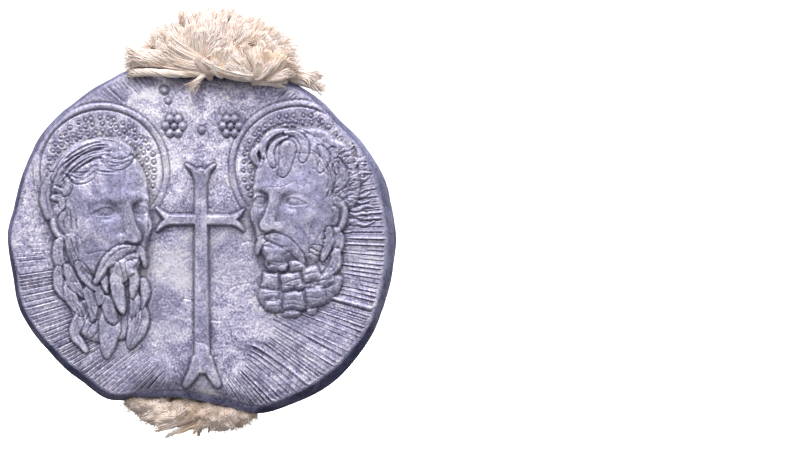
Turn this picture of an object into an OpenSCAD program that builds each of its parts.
// Leaden document seal: two struck lead leaves closed on a bundle of twisted
// hemp yarns.  Millimetres.  The disc stands upright in the XZ plane, its
// figured face looks along -Y, its patterned face along +Y, and +Z points to
// the wide upper tuft.  The origin is the middle of the disc on the parting
// plane of the two leaves.

/* [Lead disc] */
// Mean radius of the lead disc
disc_r = 19.0; // [18:0.05:20]
// Depth of the flat at the upper cord mouth
top_flat = 2.3; // [1:0.1:2.6]
// Depth of the hollow at the lower cord mouth
low_hollow = 2.8; // [1:0.1:3.0]
// How far the rear leaf stands out past the front one on its right side
leaf_shift = 0.2; // [0:0.1:0.8]

/* [Leaves] */
// Thickness of the front leaf, parting plane to field
front_t = 2.1; // [1.9:0.1:2.6]
// Thickness of the rear leaf, parting plane to field
rear_t = 2.1; // [1.9:0.1:2.6]
// Width of the rounding at the outer edge of each leaf
edge_w = 0.9; // [0.6:0.1:1.2]

/* [Cord channel] */
// Width of the channel that the cord runs through
channel_w = 12.2; // [12.2:0.1:13]
// Depth of the channel in each leaf
channel_d = 1.2; // [1.2:0.05:1.4]
// Sideways place of the channel's middle
channel_x = -0.5; // [-0.6:0.1:-0.4]

/* [Relief] */
// Height of the two heads over the field
head_h = 0.9; // [0.5:0.1:1.1]
// Height of the long cross over the field
cross_h = 0.6; // [0.4:0.1:0.8]
// Height of the nimbus rings and pellets over the field
ring_h = 0.35; // [0.2:0.05:0.5]
// Height of the ornaments on the rear face
orn_h = 0.5; // [0.3:0.1:0.7]

/* [Yarns] */
// Width of one yarn pressed in the channel
yarn_w = 1.96; // [1.5:0.02:1.96]
// Thickness of one yarn pressed in the channel
yarn_t = 1.16; // [0.9:0.02:1.16]
// Diameter of one yarn where it comes free
yarn_d = 1.7; // [1.3:0.1:1.8]

/* [Hidden] */
$fn = 48;

LEAD = [0.56, 0.57, 0.64];
HEMP = [0.86, 0.79, 0.68];

// Places of the two nimbus rings, and their radius
NIMBUS_L = [-9.9, 7.4];
NIMBUS_R = [9.4, 7.4];
NIMBUS_RAD = 6.3;

// Yarn routes, lower end to upper end: [lower end, column in the channel
// (x, y), bend above the mouth, middle of the free end, upper end]
ROUTES = [
  [[-6.3, -0.9, -18.6], [-5.55, -0.6], [-5.9, -0.6, 17.2], [-6.4, -0.5, 18.0], [-7.3, -0.5, 19.0]],
  [[-4.3, -1.1, -19.3], [-3.53, -0.6], [-4.1, -0.7, 17.5], [-4.2, -0.6, 19.2], [-4.9, -0.7, 21.0]],
  [[-2.2, -1.2, -19.8], [-1.51, -0.6], [-1.7, -0.8, 17.4], [-3.6, -2.5, 18.3], [-7.0, -2.4, 18.6]],
  [[-0.1, -1.2, -19.6], [ 0.51, -0.6], [ 0.7, -0.8, 17.5], [ 1.3, -1.7, 19.0], [ 2.3, -1.8, 20.6]],
  [[ 2.0, -1.1, -19.0], [ 2.53, -0.6], [ 2.8, -0.8, 17.5], [ 3.7, -1.6, 19.4], [ 4.8, -1.6, 21.3]],
  [[ 4.2, -0.9, -18.2], [ 4.55, -0.6], [ 5.2, -0.8, 17.3], [ 7.2, -1.4, 17.9], [ 9.8, -1.5, 18.8]],
  [[-5.9,  0.9, -18.2], [-5.55,  0.6], [-5.4,  0.8, 17.5], [-4.4,  0.95, 19.4], [-4.2,  1.0, 21.6]],
  [[-3.7,  1.1, -19.0], [-3.53,  0.6], [-3.3,  0.8, 17.8], [-1.9,  1.0, 20.4], [-1.2,  1.1, 23.0]],
  [[-1.6,  1.2, -19.7], [-1.51,  0.6], [-1.3,  0.8, 17.8], [ 0.3,  1.0, 20.4], [ 1.1,  1.1, 23.0]],
  [[ 0.5,  1.2, -19.9], [ 0.51,  0.6], [ 0.8,  0.8, 17.8], [ 2.4,  1.0, 20.3], [ 3.2,  1.1, 22.8]],
  [[ 2.6,  1.1, -19.2], [ 2.53,  0.6], [ 2.9,  0.8, 17.6], [ 4.5,  1.0, 20.0], [ 5.9,  1.1, 21.9]],
  [[ 4.6,  0.9, -18.4], [ 4.55,  0.6], [ 5.0,  0.7, 17.3], [ 6.4,  0.7, 18.8], [ 8.2,  0.6, 20.6]]];
MOUTH_LOW = -15.0;
MOUTH_TOP = 15.2;

// Signed angle between two directions, -180 to 180
function wrap(a) = a - 360 * round(a / 360);
// Soft bump, 1 at its middle and falling to 0 over about w degrees
function bump(a, mid, w, p) = exp(-pow(abs(wrap(a - mid)) / w, p));
// Outline radius of the front leaf at angle a
function rim(a) = disc_r + 0.4 * cos(2 * a) - 0.15 * sin(2 * a)
  + 0.07 * sin(5 * a + 40) + 0.05 * sin(9 * a + 10)
  - 0.4 * bump(a, 48, 18, 2) - 0.3 * bump(a, 298, 14, 2)
  - top_flat * bump(a, 88, 20, 2) - low_hollow * bump(a, 264, 21, 3);
// Outline radius of the rear leaf at angle a
function rear_rim(a) = rim(a) + leaf_shift * bump(a, 12, 24, 2) - 0.12;

function unit(v) = v / norm(v);

// Outline of a leaf as its own face is seen, drawn in from the rim by inset:
// s is -1 for the front leaf and +1 for the rear one
module outline(s, inset) {
  polygon([for (k = [0:71])
    let (a = k * 5, r = (s < 0 ? rim(a) : rear_rim(180 - a)) - inset)
    [r * cos(a), r * sin(a)]]);
}

// One layer of a leaf, y0 to y1 out from the parting plane
module layer(s, y0, y1) {
  translate([0, s * y0, 0]) rotate([90, 0, s < 0 ? 0 : 180]) linear_extrude(y1 - y0) children();
}

// One lead leaf: a rim layer with the half channel, and two layers that step
// in towards the field
module leaf_body(s, t) {
  layer(s, 0, channel_d) difference() {
    outline(s, 0);
    translate([-s * channel_x - channel_w / 2, -25]) square([channel_w, 50]);
  }
  layer(s, channel_d, t - 0.35) outline(s, edge_w * 0.3);
  layer(s, t - 0.35, t) outline(s, edge_w);
}

// Flat shape (u to the right as each face is seen, v up) raised from a face
module raise_front(h) {
  translate([0, -front_t + 0.2, 0]) rotate([90, 0, 0]) linear_extrude(h + 0.2) children();
}
module raise_rear(h) {
  translate([0, rear_t - 0.2, 0]) rotate([90, 0, 180]) linear_extrude(h + 0.2) children();
}

// Low round boss of radius a and height h, its skirt sunk in the face
module boss(a, h) {
  rr = (a * a + h * h) / (2 * h);
  rotate_extrude($fn = 120) intersection() {
    translate([0, h - rr]) circle(rr, $fn = 720);
    translate([0, -0.25]) square([a + 2, h + 0.5]);
  }
}
module boss_front(u, v, a, h) {
  translate([u, -front_t, v]) rotate([90, 0, 0]) boss(a, h);
}

// Long cross with forked ends
module cross_shape() {
  polygon([[-0.5, 7.0], [0.6, 7.0], [0.6, 2.8], [3.4, 2.8], [4.2, 3.4], [3.7, 2.2],
           [4.2, 1.2], [3.4, 1.6], [0.65, 1.6], [0.95, -12.6], [1.75, -14.5], [0.2, -13.4],
           [-1.5, -14.5], [-0.8, -12.6], [-0.55, 1.6], [-3.4, 1.6], [-4.5, 1.0], [-3.8, 2.2],
           [-4.6, 3.5], [-3.4, 2.8], [-0.55, 2.8]]);
  polygon([[-0.5, 6.6], [-1.4, 7.7], [-0.9, 7.8], [0.05, 7.0], [0.9, 7.8], [1.35, 7.7], [0.6, 6.6]]);
}

// Ring of a nimbus over the head
module nimbus_shape() {
  difference() {
    circle(NIMBUS_RAD + 0.2);
    circle(NIMBUS_RAD - 0.2);
    translate([-10, -14.5]) square([20, 13]);
  }
}

// Rows of pellets inside a nimbus
module pellet_rows() {
  for (row = [0, 1])
    for (k = [0:10])
      translate([(5.5 - 0.9 * row) * cos(15 + 15 * k), (5.5 - 0.9 * row) * sin(15 + 15 * k)])
        circle(0.24, $fn = 16);
}

module obverse_leaf() {
  color(LEAD) union() {
    leaf_body(-1, front_t);
    intersection() {
      union() {
        raise_front(cross_h) cross_shape();
        raise_front(ring_h) translate(NIMBUS_L) nimbus_shape();
        raise_front(ring_h) translate(NIMBUS_R) nimbus_shape();
        raise_front(ring_h * 0.8) translate(NIMBUS_L) pellet_rows();
        raise_front(ring_h * 0.8) translate(NIMBUS_R) pellet_rows();
      }
      rotate([90, 0, 0]) cylinder(r = 17.6, h = 5, $fn = 96);
    }
    // heads, each a skull boss, a face boss and a beard boss
    boss_front(-10.8, 6.0, 4.6, head_h * 0.9);
    boss_front(-10.2, 2.6, 4.5, head_h);
    boss_front(-9.3, -5.2, 4.2, head_h * 0.8);
    boss_front(10.2, 6.6, 4.4, head_h * 0.9);
    boss_front(9.6, 3.2, 4.3, head_h);
    boss_front(9.0, -3.4, 4.1, head_h * 0.8);
  }
}

// Ornaments of the rear face
module quatrefoil() {
  union() {
    for (k = [0:3]) translate([1.35 * cos(90 * k), 1.35 * sin(90 * k)]) circle(1.0);
    square([2.2, 2.2], center = true);
  }
}
module lozenge() {
  polygon([[2.3, 0], [0, 2.7], [-2.3, 0], [0, -2.7]]);
}
module rosette(r) {
  union() {
    circle(r * 0.62);
    for (k = [0:5]) translate([r * 0.66 * cos(60 * k + 30), r * 0.66 * sin(60 * k + 30)]) circle(r * 0.34, $fn = 24);
  }
}
module star() {
  union() {
    circle(1.0);
    for (k = [0:7]) rotate(45 * k)
      polygon([[0.3, -0.6], [2.45, -0.16], [2.45, 0.16], [0.3, 0.6]]);
  }
}
module small_cross() {
  union() {
    square([4.4, 0.8], center = true);
    translate([0, -0.4]) square([0.8, 3.2], center = true);
    for (p = [[2.4, 0], [-2.4, 0], [0, 1.2], [0, -2.0]]) translate(p) circle(0.65, $fn = 24);
  }
}

module reverse_leaf() {
  color(LEAD) union() {
    leaf_body(1, rear_t);
    raise_rear(orn_h) {
      translate([0.1, 14.6]) small_cross();
      // first row
      translate([-11.2, 9.0]) lozenge();
      translate([-5.6, 9.0]) quatrefoil();
      translate([0.1, 9.0]) rosette(2.6);
      translate([5.9, 9.0]) quatrefoil();
      translate([12.4, 9.8]) circle(0.55, $fn = 24);
      translate([12.4, 7.6]) circle(0.55, $fn = 24);
      // second row
      translate([-13.0, 2.0]) rosette(2.5);
      translate([-6.6, 2.0]) star();
      translate([0, 2.0]) quatrefoil();
      translate([6.6, 2.0]) star();
      translate([13.0, 2.0]) rosette(2.5);
      // third row
      translate([-15.4, -5.0]) circle(1.1);
      translate([-10.4, -5.2]) quatrefoil();
      translate([-4.2, -5.2]) lozenge();
      translate([2.0, -5.2]) rosette(2.6);
      translate([8.0, -5.2]) lozenge();
      translate([13.0, -5.2]) circle(1.1);
      // fourth row
      translate([-11.3, -12.2]) circle(0.6, $fn = 24);
      translate([-6.6, -12.0]) star();
      translate([-1.0, -12.2]) quatrefoil();
      translate([4.6, -12.0]) star();
      translate([8.8, -12.3]) circle(0.6, $fn = 24);
    }
  }
}

// One yarn: an eight-sided tube swept along its route, pressed flat between
// the leaves and round where it comes free
module yarn(i) {
  q = ROUTES[i];
  p = [q[0], [q[1][0], q[1][1], MOUTH_LOW], [q[1][0], q[1][1], MOUTH_TOP], q[2], q[3], q[4]];
  m = len(p);
  half = [[yarn_d / 2, yarn_d / 2 - 0.1], [yarn_w / 2, yarn_t / 2], [yarn_w / 2, yarn_t / 2],
          [yarn_d / 2, yarn_d / 2 - 0.15], [yarn_d / 2, yarn_d / 2 - 0.1], [yarn_d / 2 - 0.15, yarn_d / 2 - 0.2]];
  pts = [for (j = [0:m - 1])
    let (t = unit(p[min(j + 1, m - 1)] - p[max(j - 1, 0)]),
         e1 = unit(cross([0, 1, 0], t)), e2 = cross(t, e1))
    for (k = [0:7])
      let (a = 22.5 + 45 * k)
      p[j] + e1 * half[j][0] * cos(a) / cos(22.5) + e2 * half[j][1] * sin(a) / cos(22.5)];
  side = [for (j = [0:m - 2]) for (k = [0:7]) for (h = [0, 1])
    let (a = j * 8 + k, b = j * 8 + (k + 1) % 8, c = a + 8, d = b + 8)
    h == 0 ? [a, c, b] : [b, c, d]];
  color(HEMP)
    polyhedron(points = pts, faces = concat([[for (k = [0:7]) k]], side,
      [[for (k = [7:-1:0]) (m - 1) * 8 + k]]), convexity = 4);
}

module yarn_01() { yarn(0); }
module yarn_02() { yarn(1); }
module yarn_03() { yarn(2); }
module yarn_04() { yarn(3); }
module yarn_05() { yarn(4); }
module yarn_06() { yarn(5); }
module yarn_07() { yarn(6); }
module yarn_08() { yarn(7); }
module yarn_09() { yarn(8); }
module yarn_10() { yarn(9); }
module yarn_11() { yarn(10); }
module yarn_12() { yarn(11); }

obverse_leaf();
reverse_leaf();
yarn_01();
yarn_02();
yarn_03();
yarn_04();
yarn_05();
yarn_06();
yarn_07();
yarn_08();
yarn_09();
yarn_10();
yarn_11();
yarn_12();
